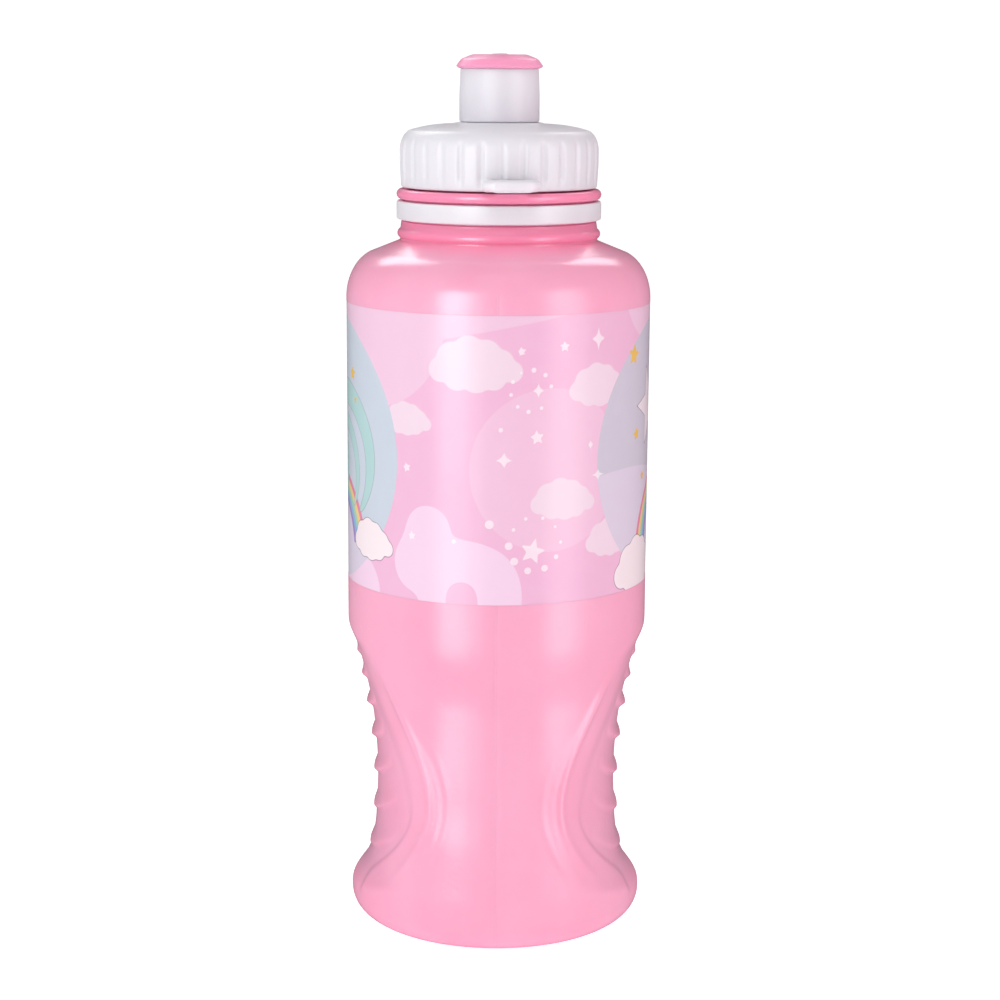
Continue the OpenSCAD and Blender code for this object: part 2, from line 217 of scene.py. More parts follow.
class Graph:
    def __init__(self, owner):
        owner.use_nodes = True
        self.tree = owner.node_tree
        self.tree.nodes.clear()

    def node(self, kind, settings=None, sockets=None, out=0):
        made = self.tree.nodes.new(kind)
        for name, setting in (settings or {}).items():
            if name == "stops":
                while len(made.color_ramp.elements) < len(setting):
                    made.color_ramp.elements.new(0.5)
                for element, (place, colour) in zip(made.color_ramp.elements, setting):
                    element.position, element.color = place, (*colour, 1)
            elif name == "interpolation":
                made.color_ramp.interpolation = setting
            else:
                setattr(made, name, setting)
        for name, value in (sockets or {}).items():
            if isinstance(value, Value):
                self.tree.links.new(value.socket, made.inputs[name])
            else:
                made.inputs[name].default_value = value
        return Value(self, made.outputs[out]) if made.outputs else made

    def mix(self, factor, first, second):
        # colours: sockets 6 and 7 are the colour pair of a Mix node
        pair = [(*c, 1) if isinstance(c, tuple) else c for c in (first, second)]
        return self.node("ShaderNodeMix", {"data_type": "RGBA"}, {0: factor, 6: pair[0], 7: pair[1]}, out=2)

    def noise(self, place, scale, detail=2.0):
        return self.node("ShaderNodeTexNoise", {}, {"Vector": place, "Scale": scale, "Detail": detail})

    def cells(self, place, scale, out=0):
        # output 0 is how far the middle of the nearest cell is, and output 2 is where it is
        return self.node("ShaderNodeTexVoronoi", {"feature": "F1"}, {"Vector": place, "Scale": scale}, out=out)

    def stretched(self, place, upwards):
        # a pattern in this place is drawn out along the bottle's height when upwards is below 1
        return self.node("ShaderNodeMapping", {"vector_type": "POINT"},
                         {"Vector": place, "Scale": (1.0, 1.0, upwards)})

    def part(self, place, axis):
        # one of a place's three coordinates, in metres
        return self.node("ShaderNodeSeparateXYZ", {}, {"Vector": place}, out=axis)

    def field(self, name):
        return self.node("ShaderNodeAttribute", {"attribute_name": name, "attribute_type": "GEOMETRY"}, out=2)


def linear(red, green, blue):
    # a colour as a paint chart gives it, 0 to 255, turned to the linear values that sockets take
    return tuple((c / 255 / 12.92) if c <= 10 else ((c / 255 + 0.055) / 1.055) ** 2.4
                 for c in (red, green, blue))


def finishMaterial(graph, colour, roughness, height, bumpDepth, constants):
    # bumpDepth is in metres; constants are set on the shader's own sockets
    bump = graph.node("ShaderNodeBump", {}, {"Strength": 1.0, "Distance": bumpDepth, "Height": height})
    shader = graph.node("ShaderNodeBsdfPrincipled", {}, {
        "Base Color": colour, "Roughness": roughness, "Normal": bump, **constants})
    graph.node("ShaderNodeOutputMaterial", {}, {"Surface": shader})


def startMaterial(name):
    made = bpy.data.materials.new(name)
    graph = Graph(made)
    place = graph.node("ShaderNodeTexCoord", {}, out=3)
    return made, graph, place


# what the moulded plastics share: clouded colour, fine orange peel, a few specks and handling marks
def mouldedPlastic(name, look):
    made, graph, place = startMaterial(name)
    clouding = graph.noise(place, look["cloudScale"], 3.0)
    flow = graph.noise(graph.stretched(place, look["flowStretch"]), look["flowScale"])
    peel = graph.noise(place, look["peelScale"])
    rub = graph.noise(place, look["rubScale"])
    chosen = graph.node("ShaderNodeTexWhiteNoise", {"noise_dimensions": "3D"},
                        {"Vector": graph.cells(place, look["speckScale"], out=2)})
    speck = (1 - graph.cells(place, look["speckScale"]) * look["speckSharp"]).held()
    speck = speck * (chosen > look["speckRarity"])
    flowShare = look["flowShare"]
    tint = (clouding * (1 - flowShare) + flow * flowShare - 0.5) * look["colourVary"] + 0.5
    colour = graph.mix(tint.held(), look["deep"], look["pale"])
    # partly painted shade: the neck is tinted deeper, for its thicker wall and for the shade under the cap and
    # band
    if look["thickAndShadeFrom"]:
        thick = ((graph.part(place, 2) - look["thickAndShadeFrom"]) * look["thickAndShadeSharp"]).held()
        colour = graph.mix(thick * look["thickAndShadeShare"], colour, look["thickAndShadedColour"])
    colour = graph.mix(speck * look["speckDark"], colour, look["speckColour"])
    scuffed = (rub - look["rubFrom"]).atLeast(0) * look["rubRough"]
    roughness = (look["roughness"] + scuffed + (clouding - 0.5) * look["cloudRough"]).held()
    height = peel + (flow - 0.5) * look["flowDepth"] + speck * look["speckHeight"]
    finishMaterial(graph, colour, roughness, height, look["peelDepth"], look["constants"])
    return made


pinkLook = {
    "deep": linear(243, 157, 187), "pale": linear(249, 178, 204), "colourVary": 1.4,
    "cloudScale": 45.0, "cloudRough": 0.06,
    "flowScale": 60.0, "flowStretch": 0.15, "flowDepth": 0.5, "flowShare": 0.4,
    "peelScale": 900.0, "peelDepth": 0.00003,
    "roughness": 0.21, "rubScale": 70.0, "rubFrom": 0.45, "rubRough": 0.16,
    "speckScale": 110.0, "speckSharp": 22.0, "speckRarity": 0.955, "speckDark": 0.6, "speckHeight": 0.4,
    "speckColour": linear(190, 96, 140),
    # from this height up, in metres, the colour is deeper: partly the thicker wall's own colour, partly painted
    # shade under the cap and band
    "thickAndShadeFrom": 0.1512, "thickAndShadeSharp": 400.0, "thickAndShadeShare": 0.8, "thickAndShadedColour": linear(247, 138, 174),
    "constants": {"IOR": 1.55, "Subsurface Weight": 0.3, "Subsurface Radius": (1.0, 0.45, 0.55),
                  "Subsurface Scale": 0.0025},
}
whiteLook = dict(
    pinkLook, deep=linear(216, 214, 221), pale=linear(229, 227, 233), roughness=0.4, peelScale=1300.0,
    speckColour=linear(170, 160, 176), speckDark=0.35, speckRarity=0.978, thickAndShadeFrom=None,
    constants={"IOR": 1.49, "Subsurface Weight": 0.35, "Subsurface Radius": (1.0, 0.72, 0.78),
               "Subsurface Scale": 0.0025})
tipLook = dict(
    pinkLook, deep=linear(244, 150, 188), pale=linear(248, 168, 202), roughness=0.34, peelScale=1500.0,
    thickAndShadeFrom=None,
    constants={"IOR": 1.47, "Subsurface Weight": 0.35, "Subsurface Radius": (1.0, 0.4, 0.5),
               "Subsurface Scale": 0.002})
spoutLook = dict(whiteLook, deep=linear(216, 213, 221), pale=linear(228, 225, 232), roughness=0.45)
bandLook = dict(whiteLook, deep=linear(219, 217, 223), pale=linear(230, 228, 234), roughness=0.4)

pinkBody = mouldedPlastic("pinkMouldedPlastic", pinkLook)
whiteCap = mouldedPlastic("whiteCapPlastic", whiteLook)
whiteSpout = mouldedPlastic("whiteSpoutPlastic", spoutLook)
whiteBand = mouldedPlastic("whiteBandPlastic", bandLook)
pinkTip = mouldedPlastic("pinkSoftTip", tipLook)


foamLook = {"cellScale": 1800.0, "broadScale": 120.0, "deep": linear(205, 203, 196),
            "pale": linear(240, 239, 234), "roughness": 0.55, "depth": 0.00012}


def foamMaterial():
    made, graph, place = startMaterial("closedCellFoam")
    cells = graph.cells(place, foamLook["cellScale"])
    broad = graph.noise(place, foamLook["broadScale"], 3.0)
    colour = graph.mix((cells * 0.7 + broad * 0.4).held(), foamLook["deep"], foamLook["pale"])
    finishMaterial(graph, colour, (foamLook["roughness"] + broad * 0.2).held(), cells + broad * 0.3,
                   foamLook["depth"], {"IOR": 1.45, "Subsurface Weight": 0.1, "Subsurface Scale": 0.001})
    return made


foam = foamMaterial()

# ---- bottle body: one blow moulded shell, waisted and ribbed at both sides for a small hand
bodyLow, bodyHigh = boxInMm("bottle_body")
filmLow, filmHigh = boxInMm("wrap_film")
bandLow, bandHigh = boxInMm("neck_band")
capLow, capHigh = boxInMm("screw_cap")
sealLow, sealHigh = boxInMm("cap_seal")
bodyR = bodyHigh.x
rimZ = bodyHigh.z

bottle = {
    "columns": 336,             # round the body
    # where the columns of each quarter lie, in degrees from the front or back: close together at the parting
    # line and where the hollow's edge runs
    "columnPlaces": ((0, 0), (1, 0.32), (2, 0.66), (3, 2.1), (5, 5.2), (11, 13.0), (71, 66.0), (84, 90.0)),
    "gripRows": 140, "innerRows": 20,
    "wall": 1.2, "baseCorner": 5.0, "baseHollow": 1.6,
    # the hollow at each side: its ends, its floor's deepest place and curves, and how far its middle is shifted
    "gripTop": 67.3, "gripBottom": 7.5, "waistZ": 32.0, "waistDepth": 6.15,
    "upperCurve": 115.0, "lowerCurve": 68.0, "shift": 12.6,
    "topSlope": 0.6, "footSlope": 0.75, "slopeMeet": 0.5, "slopeSoftness": 0.9,
    "rimSoftness": 0.6,         # how far the edge of each hollow is rounded over
    # raised lines along that edge: points of (height, distance from the middle), then half width and height
    "rimLines": (
        (((12, 24.0), (19.5, 18.8), (25, 15.8), (29, 14.6), (34, 14.4), (42.5, 16.4), (48, 18.6),
          (54, 21.7), (62, 26.0)), 0.8, 0.5),
        (((15, 19.4), (22, 14.8), (29.6, 12.6), (35, 12.6), (40.5, 13.9), (46.7, 17.1), (54, 21.0)),
         0.65, 0.11),
        (((12, 19.3), (15.3, 17.1), (22.5, 12.8), (29.2, 10.5), (35, 10.3), (41, 11.7), (47, 14.5)),
         0.75, 0.11)),
    "rimLineOver": 1, "rimLineFade": 9,
    # the front and back draw in this much below the wrap, between these heights, and the foot all round
    "frontWaist": 1.0, "frontTop": (69.5, 54.0), "frontFoot": (10.5, 34.0),
    "footIn": 0.55, "footFade": (27.0, 13.0),
    # the ribbed panel lies this much deeper than the hollow round it, and deeper still near the foot
    "panelDepth": 0.38, "panelFoot": 0.5, "panelFootFade": (28.0, 20.0),
    # its edge, as points of (height, distance from the middle)
    "panelEdge": ((7, 31.2), (14.6, 26.4), (20, 22.9), (25, 19.6), (29, 18.0), (33, 17.6), (38, 18.8),
                  (45, 21.3), (50, 23.6), (57, 26.5), (64, 30.3), (70, 34.0)),
    # the step at that edge is crisp below, and spreads out to a faint one above
    "stepIn": -0.3, "stepOut": 0.45, "stepSpread": 2.1, "spreadFade": (26.0, 36.0),
    "stepTopShare": 0.25, "stepFade": (62.0, 46.0), "stepTop": (69.0, 65.0), "stepFoot": (5.8, 8.8),
    # ribs from the foot up, each with its height and how far it reaches round
    "ribs": ((0.57, 21.0), (0.75, 20.0), (0.98, 18.0), (1.15, 15.5), (1.3, 13.0), (1.1, 11.0), (0.79, 8.5)),
    "ribFirst": 15.4, "ribLast": 60.6, "ribSpread": 9.7, "ribRise": 0.0175, "ribUp": 2.9, "ribDown": 0.85,
    "ribHollow": 1.35, "ribEnd": 0.9,
    "shoulderZ": 140.5, "shoulderIn": 7.9, "shoulderUp": 10.5, "shoulderSlope": 22.0,
    "neckR": 21.65, "lowBead": 0.6, "highBead": 0.75, "beadR": 1.15, "beadHalfDeg": 65.0,
    "neckStep": 0.5, "neckLand": 1.6, "bandPlay": 0.4, "grooveFloor": 20.9,
    "finishR": 18.6, "boreR": 17.4, "innerNeckR": 19.7, "finishFoot": 10.5,
    "filmRecess": 0.15,
    "partingH": 0.11,           # the mould's parting line, front and back
}


def gripDepth(z):
    b = bottle
    curve = np.where(z > b["waistZ"], b["upperCurve"], b["lowerCurve"])
    floor = b["waistDepth"] - (z - b["waistZ"]) ** 2 / (2 * curve)
    fromTop, fromFoot = (b["gripTop"] - z) * b["topSlope"], (z - b["gripBottom"]) * b["footSlope"]
    return smoothMin(floor, smoothMin(fromTop, fromFoot, b["slopeMeet"]), b["slopeSoftness"])


def gripForm(angle, radius, z, detailed=True):
    # pulls a radius in to the hollow at its side, with the ribbed panel and its ribs when detailed
    b = bottle
    shift = b["shift"]
    side = np.abs(np.cos(angle))
    own = shift + bodyR - gripDepth(z)
    hollow = -shift * side + np.sqrt(np.maximum(own ** 2 - shift ** 2 * (1 - side ** 2), 0))
    front = smoothStep(*b["frontTop"], z) * smoothStep(*b["frontFoot"], z) * b["frontWaist"]
    made = smoothMin(radius - front, hollow, b["rimSoftness"])
    if not detailed:
        return made
    x, y = made * side, made * np.sin(angle)
    for points, half, height in b["rimLines"]:
        low, high = points[0][0], points[-1][0]
        along = smoothStep(low - b["rimLineOver"], low + b["rimLineFade"], z)
        along = along * smoothStep(high + b["rimLineOver"], high - b["rimLineFade"], z)
        made = made + height * np.exp(-(offLine(points, x, z) / half) ** 2) * along
    fade = smoothStep(*b["stepFade"], z) * (1 - b["stepTopShare"]) + b["stepTopShare"]
    spread = b["stepOut"] + b["stepSpread"] * smoothStep(*b["spreadFade"], z)
    inPanel = smoothStep(b["stepIn"], spread, offLine(b["panelEdge"], x, z)) * fade
    depth = b["panelDepth"] * (1 + b["panelFoot"] * smoothStep(*b["panelFootFade"], z))
    made = made - depth * inPanel * smoothStep(*b["stepTop"], z) * smoothStep(*b["stepFoot"], z)
    run = (b["ribLast"] - b["ribFirst"]) / sin(radians(b["ribSpread"] * (len(b["ribs"]) - 1)))
    for i, (height, reach) in enumerate(b["ribs"]):
        middle = b["ribFirst"] + run * sin(radians(b["ribSpread"] * i))
        across = np.clip(np.abs(y) / reach, 0, 1)
        away = z - middle - b["ribRise"] * y ** 2
        slow = np.clip(1 - away / b["ribUp"], 0, 1) ** b["ribHollow"]
        sharp = np.clip(1 + away / b["ribDown"], 0, 1)
        made = made + height * np.where(away > 0, slow, sharp) * (1 - across ** 2) ** b["ribEnd"] * (side > 0.2)
    return made


def bodyOutline():
    b = bottle
    corner, hollow, wall, neckR = b["baseCorner"], b["baseHollow"], b["wall"], b["neckR"]
    slope = tan(radians(b["shoulderSlope"]))
    shoulderA = 90 - b["shoulderSlope"]
    endR = bodyR - b["shoulderIn"] * (1 - cos(radians(shoulderA)))
    endZ = b["shoulderZ"] + b["shoulderUp"] * sin(radians(shoulderA))
    neckZ = endZ + (endR - neckR) * slope
    beadHalf = b["beadR"] * sin(radians(b["beadHalfDeg"]))
    lowBeadZ = neckZ + b["neckStep"] + beadHalf
    grooveZ = lowBeadZ + beadHalf + b["neckLand"]
    highBeadZ = bandHigh.z + b["bandPlay"] + beadHalf
    finishZ = highBeadZ + beadHalf
    grooveTop = highBeadZ - beadHalf

    def bead(standing, z):
        r = neckR + standing - b["beadR"]
        return arc(r, z, b["beadR"], b["beadR"], -b["beadHalfDeg"], b["beadHalfDeg"], 9)

    recessR = bodyR - b["filmRecess"]
    inFoot = bodyR - corner
    outside = [(0, hollow), (8, hollow), (16, hollow), (inFoot - 6.2, hollow), (inFoot - 5.2, 1.3),
               (inFoot - 3.8, 0.3), (inFoot - 2.6, 0)]
    outside += arc(inFoot, corner, corner, corner, -90, 0, 14)
    outside += line((bodyR, corner + 0.5), (bodyR, filmLow.z - 9), b["gripRows"])
    outside += [(bodyR, filmLow.z - 5), (bodyR, filmLow.z), (recessR, filmLow.z),
                (recessR, (filmLow.z + filmHigh.z) / 2), (recessR, filmHigh.z), (bodyR, filmHigh.z)]
    outside += arc(bodyR - b["shoulderIn"], b["shoulderZ"], b["shoulderIn"], b["shoulderUp"], 0, shoulderA, 18)
    outside += [(endR - 1.4, endZ + 1.4 * slope)]
    outside += rounded([(endR - 1.4, endZ + 0.57, 0), (neckR, neckZ, 0.35), (neckR, neckZ + 0.5, 0)])[1:-1]
    outside += bead(b["lowBead"], lowBeadZ)
    outside += rounded([(neckR - 0.05, grooveZ - 1.0, 0), (neckR - 0.3, grooveZ, 0.2),
                        (b["grooveFloor"], grooveZ, 0.2), (b["grooveFloor"], grooveTop, 0.2),
                        (neckR - 0.2, grooveTop, 0)])[1:-1]
    outside += bead(b["highBead"], highBeadZ)
    outside += rounded([(neckR + 0.05, finishZ, 0), (b["finishR"], finishZ, 0.3), (b["finishR"], rimZ, 0.35),
                        (b["boreR"], rimZ, 0.35), (b["boreR"], highBeadZ - 0.4, 0)])[1:]
    inside = [(b["innerNeckR"], highBeadZ - 2), (b["innerNeckR"], neckZ - wall * 0.8)]
    inside += arc(bodyR - wall - b["shoulderIn"], b["shoulderZ"], b["shoulderIn"], b["shoulderUp"] - wall,
                  shoulderA, 0, 8)
    inside += [(bodyR - wall, 100)] + line((bodyR - wall, 72), (bodyR - wall, corner + 1), b["innerRows"])
    inside += arc(inFoot, corner, corner - wall, corner - wall, 0, -75, 6)
    inside += [(inFoot - 3, wall), (inFoot - 6, hollow + wall), (0, hollow + wall)]
    return outside + inside


def bottleForm(angle, radius, height):
    # the columns are moved to their places, then every point to the form
    b = bottle
    corner, wall = b["baseCorner"], b["wall"]
    columnTurn = 2 * pi / b["columns"]
    fromLine = (angle + pi) % pi - pi / 2
    index = np.round(fromLine / columnTurn)
    placed = np.interp(np.abs(index), *zip(*b["columnPlaces"])) * np.sign(index)
    angle = angle + np.radians(placed) - fromLine
    outline = bodyR - corner + np.sqrt(np.maximum(corner ** 2 - np.maximum(corner - height, 0) ** 2, 0))
    inner = (radius < outline - wall / 2) & (height > wall * 0.8) & (radius > 20)
    formed = (height < 72) & (radius > bodyR - corner - 3)
    outer = gripForm(angle, radius, height)
    inside = gripForm(angle, radius + wall, height, detailed=False) - wall
    shaped = np.where(inner, inside, outer) - b["footIn"] * smoothStep(*b["footFade"], height)
    made = np.where(formed, shaped, radius)
    skin = ~inner & (height > 2.0) & (height < rimZ - b["finishFoot"]) & (radius > 19)
    dip = b["partingH"] * np.exp(-(index * 0.5) ** 2)
    ridge = b["partingH"] * (index == 0)
    return angle, np.where(skin, made - dip + ridge, made), height


neckThreadZ = rimZ - threads["neckLead"] - threads["neckTurns"] * threads["pitch"]
body = reshape(spun(bodyOutline(), bottle["columns"]), bottleForm)
joined(body, thread(bottle["finishR"], bottle["finishR"] + threads["height"], neckThreadZ,
                    threads["neckTurns"], 0))
bottleBody = piece("bottleBody", body, "bottle", "bottle_body", pinkBody, sharpDeg=75)

# ---- neck band: a loose ring in its groove under the cap
band = {"roundOuter": 0.45, "roundInner": 0.25, "play": 0.1, "columns": 192}
bandInner = bottle["grooveFloor"] + band["play"]
neckBand = piece("neckBand", spun(rounded([
    (bandInner, bandLow.z, band["roundInner"]), (bandHigh.x, bandLow.z, band["roundOuter"]),
    (bandHigh.x, bandHigh.z, band["roundOuter"]), (bandInner, bandHigh.z, band["roundInner"])],
    closed=True, steps=5), band["columns"]), "band", "neck_band", whiteBand)

# ---- seal: a foam washer with a ring pressed into its underside
washer = {"wide": 3.9, "pressed": 0.15, "pressedAt": (1.6, 1.8, 2.1, 2.3), "columns": 160}
sealInner = sealHigh.x - washer["wide"]
ringA, ringB, ringC, ringD = [sealInner + at for at in washer["pressedAt"]]
pressedZ = sealLow.z + washer["pressed"]
sealOutline = [
    (sealInner, sealLow.z, 0.15), (ringA, sealLow.z, 0.1), (ringB, pressedZ, 0.1), (ringC, pressedZ, 0.1),
    (ringD, sealLow.z, 0.1), (sealHigh.x, sealLow.z, 0.2), (sealHigh.x, sealHigh.z, 0.2),
    (sealInner, sealHigh.z, 0.15)]
capSeal = piece("capSeal", spun(rounded(sealOutline, closed=True, steps=3), washer["columns"]),
                "seal", "cap_seal", foam)

# ---- screw cap: grooved skirt, domed deck, chimney, pin and strap lug in one moulding
cap = {
    "outerR": 21.7, "footR": 21.4, "innerR": 19.85,
    "edgeZ": 172.44, "edgeIn": 3.2, "edgeUp": 4.6, "edgeDeg": 70.0,
    "grooves": 30, "columnsPerGroove": 16, "grooveDepth": 0.38, "grooveShape": 1.5, "grooveTurn": 2.0,
    "grooveFoot": (1.3, 2.6), "grooveHead": (3.3, 0.6),
    # where the columns lie from the middle of a groove outwards, in half widths of the groove
    "groovePlaces": (0, 0.2, 0.4, 0.58, 0.74, 0.95, 1.3, 1.75, 2.27),
    "deckZ": 178.24, "deckRings": 28, "deckShare": 0.92, "ringR": 9.35, "ringWide": 0.7, "ringUp": 0.24,
    "chimneyR": 6.3, "chimneyBore": 5.0, "chimneyTop": 187.14, "beadStand": 0.35,
    "underZ": 176.69, "sealTop": 175.59,
    "pinR": 1.92, "pinNeck": 0.4, "pinStep": (189.34, 189.94), "pinEndR": 0.9,
    "spokes": 3, "spokeTurn": 30, "spokeW": 1.3, "spokeH": 2.4, "spokeSunk": 0.5, "spokeRound": 0.15,
    "lugW": 12.3, "lugOut": 5.0, "lugT": 2.6, "lugSunk": 1.2, "lugCorner": 2.6, "lugTurn": 6.6, "lugBow": 1.2,
    "lugSlotW": 7.4, "lugSlot": 2.1, "lugWeb": 2.4, "lugRound": 0.8, "lugThin": 0.6, "lugThinTo": 0.62,
}


def capOutline():
    c = cap
    outerR, footR, innerR, edgeZ = c["outerR"], c["footR"], c["innerR"], c["edgeZ"]
    chimneyR, top, ringUp = c["chimneyR"], c["chimneyTop"], c["ringUp"]
    edge = radians(c["edgeDeg"])
    endR, endZ = outerR - c["edgeIn"] * (1 - cos(edge)), edgeZ + c["edgeUp"] * sin(edge)
    outside = rounded([(innerR, capLow.z + 2, 0), (innerR, capLow.z, 0.25), (footR, capLow.z, 0.5),
                       (footR + 0.15, capLow.z + 2.2, 0)])[1:]
    outside += line((footR + 0.16, capLow.z + 2.6), (outerR, (capLow.z + edgeZ) / 2 + 1), 8)
    outside += line((outerR, (capLow.z + edgeZ) / 2 + 1.5), (outerR, edgeZ - 0.2), 6)
    outside += arc(outerR - c["edgeIn"], edgeZ, c["edgeIn"], c["edgeUp"], 0, c["edgeDeg"], 22)
    rise = c["deckZ"] - endZ
    for i in range(1, c["deckRings"] + 1):
        t = 1 - i / c["deckRings"] * c["deckShare"]
        r = chimneyR + (endR - chimneyR) * t
        ring = ringUp * smoothStep(c["ringR"] + c["ringWide"], c["ringR"], r)
        outside.append((r, c["deckZ"] - rise * t ** 3 + ring))
    bead = chimneyR + c["beadStand"]
    outside += rounded([
        (chimneyR + 0.9, c["deckZ"] + ringUp, 0), (chimneyR, c["deckZ"] + ringUp, 0.3),
        (chimneyR, top - 0.9, 0.1), (bead, top - 0.6, 0.1), (bead, top - 0.3, 0.1), (chimneyR, top, 0.1),
        (c["chimneyBore"], top, 0.2), (c["chimneyBore"], c["underZ"], 0.3), (sealInner - 0.8, c["underZ"], 0.2),
        (sealInner - 0.3, c["sealTop"], 0.1), (innerR, c["sealTop"], 0.2), (innerR, capLow.z + 2, 0)],
        steps=2)[1:]
    return outside


def capForm(angle, radius, height):
    c = cap
    places = c["groovePlaces"]
    grooveTurn = 2 * pi / c["grooves"]
    share = (angle - radians(c["grooveTurn"] - 90)) / grooveTurn
    offset = share - np.round(share)
    across = np.interp(np.abs(offset) * c["columnsPerGroove"], range(len(places)), places)
    angle = angle + (np.sign(offset) * across / (2 * places[-1]) - offset) * grooveTurn
    dip = np.clip(1 - across ** 2, 0, 1) ** c["grooveShape"] * c["grooveDepth"]
    foot = smoothStep(capLow.z + c["grooveFoot"][0], capLow.z + c["grooveFoot"][1], height)
    head = smoothStep(c["edgeZ"] + c["grooveHead"][0], c["edgeZ"] + c["grooveHead"][1], height)
    skin = radius > c["innerR"] + 0.9
    return angle, np.where(skin, radius - dip * foot * head, radius), height


def lugMesh():
    # a loop of points is shaped to the lug's outline and another to its slot, and the two are bridged
    c = cap
    reach = c["outerR"] + c["lugOut"]
    slotOut = reach - c["lugWeb"]
    bm = bmesh.new()
    for width, low, high, corner in (
            (c["lugW"], c["outerR"] - c["lugSunk"], reach, c["lugCorner"]),
            (c["lugSlotW"], slotOut - c["lugSlot"], slotOut, c["lugSlot"] / 2 - 0.01)):
        ring = bmesh.ops.create_circle(bm, cap_ends=False, segments=64, radius=corner * mm)["verts"]
        bmesh.ops.rotate(bm, verts=ring, cent=(0, 0, 0), matrix=Matrix.Rotation(pi / 64, 3, "Z"))
        for v in ring:
            v.co.x += ((low + high) / 2 + (1 if v.co.x > 0 else -1) * ((high - low) / 2 - corner)) * mm
            v.co.y += (1 if v.co.y > 0 else -1) * (width / 2 - corner) * mm
        if width == c["lugW"]:
            for v in ring:                  # its outer edge is bowed
                out = max(v.co.x / mm - (low + high) / 2, 0) / (high - low) * 2
                v.co.x -= c["lugBow"] * mm * (v.co.y / (width / 2 * mm)) ** 2 * out
    edges = [e for e in bm.edges if not e.link_faces]
    faces = bmesh.ops.bridge_loops(bm, edges=edges)["faces"]
    grown = bmesh.ops.extrude_face_region(bm, geom=faces)
    top = [v for v in grown["geom"] if isinstance(v, bmesh.types.BMVert)]
    bmesh.ops.translate(bm, verts=top, vec=(0, 0, c["lugT"] * mm))
    bmesh.ops.recalc_face_normals(bm, faces=bm.faces)
    rims = [e for e in bm.edges if e.calc_face_angle(0) > radians(60)]
    bmesh.ops.bevel(bm, geom=rims, affect="EDGES", offset=c["lugRound"] * mm, segments=5, profile=0.5,
                    material=-1, clamp_overlap=True)
    for v in bm.verts:                      # and it thins towards its two ends
        end = smoothStep(0.5, 1.0, abs(v.co.y) / (c["lugW"] / 2 * mm))
        end = end * smoothStep(c["outerR"], reach, v.co.x / mm)
        v.co.z += (c["lugT"] * c["lugThinTo"] * mm - v.co.z) * end * c["lugThin"]
    bmesh.ops.translate(bm, verts=bm.verts, vec=(0, 0, capLow.z * mm))
    bmesh.ops.rotate(bm, verts=bm.verts, cent=(0, 0, 0),
                     matrix=Matrix.Rotation(radians(c["lugTurn"] - 90), 3, "Z"))
    return bm


def pinMesh():
    c = cap
    neckR, low, tipTop = c["pinR"] + c["pinNeck"], c["chimneyTop"] - c["spokeH"], capHigh.z
    bm = spun(rounded([
        (0, low, 0), (neckR, low, 0.2), (neckR, c["pinStep"][0], 0.2), (c["pinR"], c["pinStep"][1], 0.2),
        (c["pinR"], tipTop - 0.1, 0.5), (c["pinEndR"], tipTop, 0.3), (0, tipTop, 0)]), 64, closed=False)
    length = c["chimneyBore"] - c["pinR"] + c["spokeSunk"]
    for i in range(c["spokes"]):
        spoke = bmesh.ops.create_cube(bm, size=1)["verts"]
        bmesh.ops.scale(bm, verts=spoke, vec=(length * mm, c["spokeW"] * mm, c["spokeH"] * mm))
        bmesh.ops.translate(bm, verts=spoke, vec=((c["pinR"] + length / 2) * mm, 0,
                                                 (c["chimneyTop"] - c["spokeH"] / 2) * mm))
        bmesh.ops.rotate(bm, verts=spoke, cent=(0, 0, 0),
                         matrix=Matrix.Rotation(radians(360 / c["spokes"] * i + c["spokeTurn"]), 3, "Z"))
        edges = list({e for v in spoke for e in v.link_edges})
        bmesh.ops.bevel(bm, geom=edges, affect="EDGES", offset=c["spokeRound"] * mm, segments=2, profile=0.5,
                        material=-1)
    return bm


capMesh = reshape(spun(capOutline(), cap["grooves"] * cap["columnsPerGroove"]), capForm)
joined(capMesh, lugMesh())
joined(capMesh, pinMesh())
capThreadZ = capLow.z + threads["capLead"]
capThreadTurn = 360 * (capThreadZ - neckThreadZ) / threads["pitch"] - 180     # a ridge lies between the other's
joined(capMesh, thread(cap["innerR"], cap["innerR"] - threads["height"], capThreadZ, threads["capTurns"],
                       capThreadTurn))
screwCap = piece("screwCap", capMesh, "cap", "screw_cap", whiteCap)

# ---- spout: slides on the chimney
spoutLow, spoutHigh = boxInMm("spout_slider")
spout = {"lipR": 6.4, "slideR": 6.75, "plugR": 7.2, "topR": 8.5, "plugZ": 187.84, "lipH": 1.2, "columns": 160}
spoutSlider = piece("spoutSlider", spun(rounded([
    (spout["lipR"], spoutLow.z, 0.15), (spoutHigh.x, spoutLow.z, 0.45),
    (spoutHigh.x, (spoutLow.z + spoutHigh.z) / 2, 3), (spout["topR"], spoutHigh.z, 0.3),
    (spout["plugR"], spoutHigh.z, 0.15), (spout["plugR"], spout["plugZ"], 0.1),
    (spout["slideR"], spout["plugZ"], 0.1), (spout["slideR"], spoutLow.z + spout["lipH"], 0.1),
    (spout["lipR"], spoutLow.z + spout["lipH"] - 0.3, 0.1)], closed=True, steps=5), spout["columns"]),
    "spout", "spout_slider", whiteSpout)

